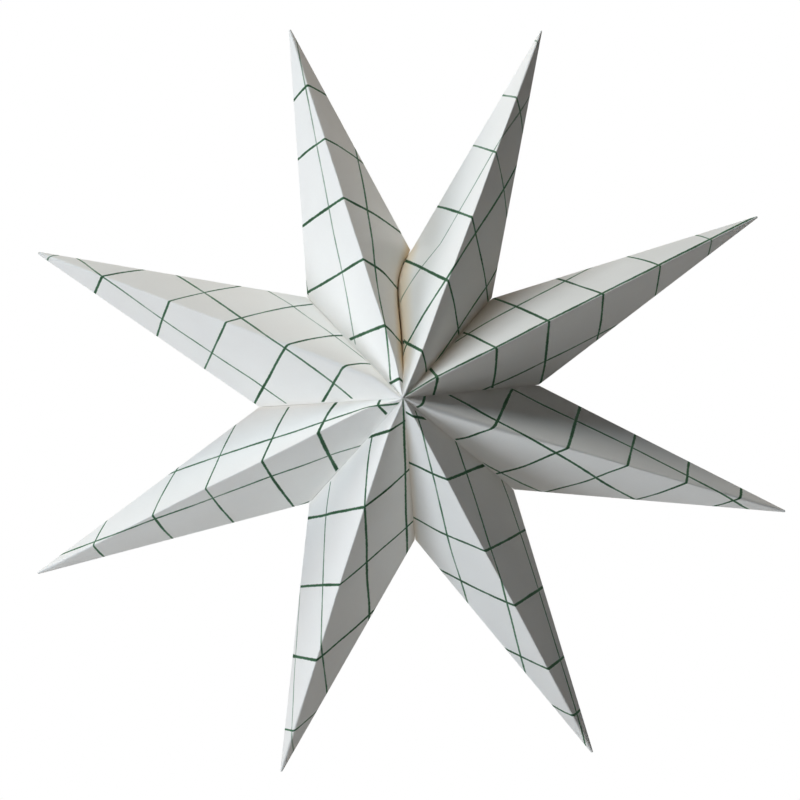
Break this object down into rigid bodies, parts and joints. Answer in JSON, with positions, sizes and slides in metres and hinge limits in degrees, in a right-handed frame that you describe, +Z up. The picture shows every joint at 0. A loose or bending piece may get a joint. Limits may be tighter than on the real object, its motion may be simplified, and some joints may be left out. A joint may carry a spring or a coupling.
{
  "type": "folded paper star",
  "caption": "Folded paper star: hollow ridged points of grid-printed sheet, glued web to web round a pinched hub, with one open cleft at the top.",
  "frame": {"origin": "middle of the hub, halfway between the front and the back apex", "axes": "+Z up, the front of the star faces -Y, +X to the right as the front is looked at"},
  "size_m": [0.2834, 0.1046, 0.2812],
  "materials": {
    "sheet_top_left": "matt white paper with thin green grid lines",
    "sheet_top_right": "matt white paper with thin green grid lines",
    "sheet_right_upper": "matt white paper with thin green grid lines",
    "sheet_right_lower": "matt white paper with thin green grid lines",
    "sheet_bottom_right": "matt white paper with thin green grid lines",
    "sheet_bottom_left": "matt white paper with thin green grid lines",
    "sheet_left_lower": "matt white paper with thin green grid lines",
    "sheet_left_upper": "matt white paper with thin green grid lines"
  },
  "bodies": {
    "root": {"point_top_left": "sheet_top_left", "point_top_right": "sheet_top_right", "point_right_upper": "sheet_right_upper", "point_right_lower": "sheet_right_lower", "point_bottom_right": "sheet_bottom_right", "point_bottom_left": "sheet_bottom_left", "point_left_lower": "sheet_left_lower", "point_left_upper": "sheet_left_upper"}
  },
  "joints": []
}
